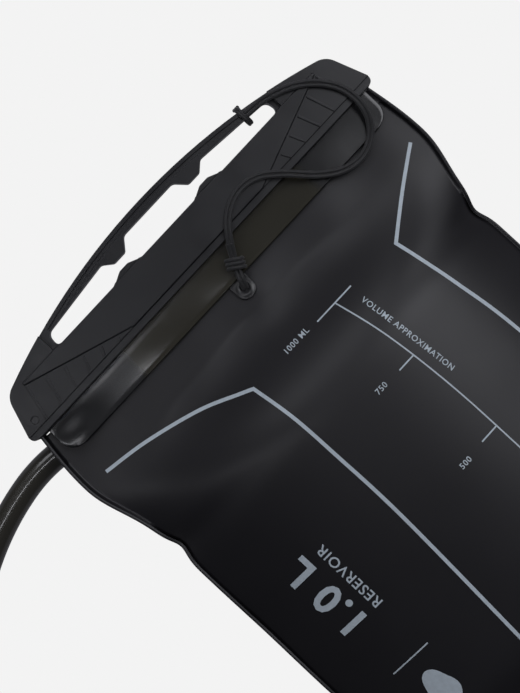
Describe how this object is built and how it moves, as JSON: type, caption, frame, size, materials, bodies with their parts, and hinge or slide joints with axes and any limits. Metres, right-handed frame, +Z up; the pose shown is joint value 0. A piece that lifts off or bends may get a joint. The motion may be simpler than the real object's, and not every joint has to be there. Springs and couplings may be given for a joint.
{
  "type": "hydration bladder",
  "caption": "Slide-top hydration bladder: welded film bag closed by a sliding bar with a finger handle and tether, with quick-release outlet, drinking hose and twist shut-off bite valve.",
  "frame": {"origin": "on the surface it lies on, under the middle of the bag and slider, the hose left out", "axes": "+Y from the bag's bottom to the slider and handle, +X to the right of the bag seen from the front, +Z up, out of the bag's front"},
  "size_m": [0.333, 0.2735, 0.044],
  "materials": {
    "bag_film": "satin thermoplastic urethane film",
    "flap_film": "smoky film, darker at its ends",
    "rail": "matt",
    "tab": "satin",
    "slider": "satin moulded",
    "cord": "braided cord",
    "port": "satin moulded",
    "seal": "matt",
    "steel": "spring steel",
    "button": "satin",
    "plug": "gloss moulded",
    "hose": "smoky, glossy",
    "collar": "satin",
    "bite": "soft silicone"
  },
  "bodies": {
    "bag": {"front_film": "bag_film", "back_film": "bag_film", "mouth_flap": "flap_film", "front_closure_rail": "rail", "back_closure_rail": "rail", "tether_eyelet": "tab", "tether_cord": "cord", "tether_knot": "cord", "port_flange": "port", "port_gasket": "seal", "port_elbow": "port", "button_spring": "steel", "hose_plug": "plug", "plug_o_ring": "seal", "hose_tube": "hose", "hose_coil": "hose", "hose_tail": "hose", "valve_stem": "plug", "valve_o_ring": "seal"},
    "closing_slider": {"slider": "slider", "tether_hitch": "cord"},
    "plug_catch": {"release_button": "button", "latch_plate": "steel"},
    "drinking_end": {"shutoff_collar": "collar", "bite_sleeve": "bite"}
  },
  "joints": [
    {"name": "slider_slide", "type": "slide", "parent": "bag", "child": "closing_slider", "axis": [-1, 0, 0], "range_m": [0, 0.175], "deforming": ["tether_cord"]},
    {"name": "button_press", "type": "slide", "parent": "bag", "child": "plug_catch", "axis": [-1, 0, 0], "range_m": [0, 0.0014], "stiffness_N_per_m": 500, "springref_m": -0.002, "deforming": ["button_spring"]},
    {"name": "collar_twist", "type": "hinge", "parent": "bag", "child": "drinking_end", "pos_m": [-0.127, -0.111, 0.0098], "axis": [0.6197, -0.7849, 0], "range_deg": [0, 90]}
  ]
}
